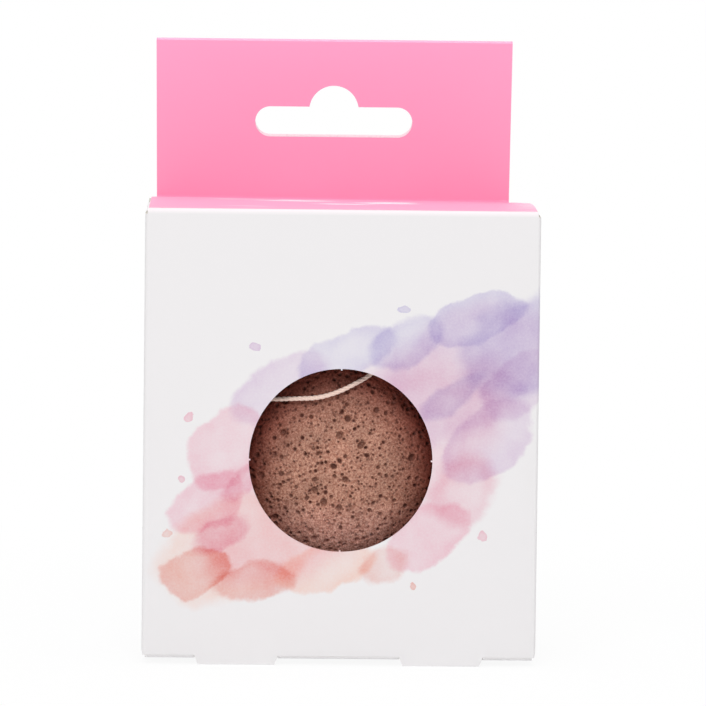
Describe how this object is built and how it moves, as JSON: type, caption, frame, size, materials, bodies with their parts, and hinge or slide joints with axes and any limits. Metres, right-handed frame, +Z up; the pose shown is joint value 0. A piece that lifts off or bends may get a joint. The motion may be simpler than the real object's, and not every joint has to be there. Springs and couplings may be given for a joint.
{
  "type": "boxed konjac sponge",
  "caption": "Half-ball konjac face sponge with a cotton hanging loop, in a windowed paperboard carton with a folded header and hanging slot.",
  "frame": {"origin": "middle of the carton's footprint, level with the tips of the two feet", "axes": "+X to the right seen from the front, +Y from front to back, +Z up towards the header"},
  "size_m": [0.08, 0.04, 0.126],
  "materials": {
    "white_board": "coated white folding boxboard, satin",
    "pink_board": "folding boxboard printed pink, satin varnish",
    "sponge": "open-pored plant-fibre sponge with clay, brown-pink",
    "cotton": "twisted cotton string, undyed"
  },
  "bodies": {
    "sleeve": {"front_panel": "white_board", "left_side_panel": "white_board", "right_side_panel": "white_board", "back_panel": "white_board", "glue_flap": "white_board", "header_rear_ply": "pink_board", "header_front_ply": "pink_board"},
    "lid": {"lid": "pink_board"},
    "lid_tuck": {"lid_tuck_flap": "pink_board"},
    "top_dust_left": {"top_dust_flap_left": "white_board"},
    "top_dust_right": {"top_dust_flap_right": "white_board"},
    "bottom": {"bottom_panel": "white_board"},
    "bottom_tuck": {"bottom_tuck_flap": "white_board"},
    "bottom_dust_left": {"bottom_dust_flap_left": "white_board"},
    "bottom_dust_right": {"bottom_dust_flap_right": "white_board"},
    "sponge": {"sponge": "sponge", "hang_string": "cotton", "string_core": "cotton", "string_knot": "cotton"}
  },
  "joints": [
    {"name": "lid_fold", "type": "hinge", "parent": "sleeve", "child": "lid", "pos_m": [0, 0.01888, 0.0926], "axis": [-1, 0, 0], "range_deg": [0, 85]},
    {"name": "lid_tuck_fold", "type": "hinge", "parent": "lid", "child": "lid_tuck", "pos_m": [0, -0.01875, 0.09198], "axis": [-1, 0, 0], "range_deg": [0, 13]},
    {"name": "top_dust_left_fold", "type": "hinge", "parent": "sleeve", "child": "top_dust_left", "pos_m": [-0.04, 0, 0.09195], "axis": [0, -1, 0], "range_deg": [0, 43]},
    {"name": "top_dust_right_fold", "type": "hinge", "parent": "sleeve", "child": "top_dust_right", "pos_m": [0.04, 0, 0.09195], "axis": [0, 1, 0], "range_deg": [0, 43]},
    {"name": "bottom_fold", "type": "hinge", "parent": "sleeve", "child": "bottom", "pos_m": [0, -0.02, 0.0016], "axis": [-1, 0, 0], "range_deg": [0, 100]},
    {"name": "bottom_tuck_fold", "type": "hinge", "parent": "bottom", "child": "bottom_tuck", "pos_m": [0, 0.01825, 0.00222], "axis": [-1, 0, 0], "range_deg": [0, 15.5]},
    {"name": "bottom_dust_left_fold", "type": "hinge", "parent": "sleeve", "child": "bottom_dust_left", "pos_m": [-0.04, 0, 0.00225], "axis": [0, 1, 0], "range_deg": [0, 51]},
    {"name": "bottom_dust_right_fold", "type": "hinge", "parent": "sleeve", "child": "bottom_dust_right", "pos_m": [0.04, 0, 0.00225], "axis": [0, -1, 0], "range_deg": [0, 51]},
    {"name": "sponge_lift", "type": "slide", "parent": "sleeve", "child": "sponge", "axis": [0, 0, 1], "range_m": [0, 0.008]}
  ],
  "couplings": [
    {"joint": "lid_tuck_fold", "follows": "lid_fold", "ratio": 0.15},
    {"joint": "top_dust_left_fold", "follows": "lid_fold", "ratio": 0.5},
    {"joint": "top_dust_right_fold", "follows": "lid_fold", "ratio": 0.5},
    {"joint": "bottom_tuck_fold", "follows": "bottom_fold", "ratio": 0.15},
    {"joint": "bottom_dust_left_fold", "follows": "bottom_fold", "ratio": 0.5},
    {"joint": "bottom_dust_right_fold", "follows": "bottom_fold", "ratio": 0.5}
  ]
}
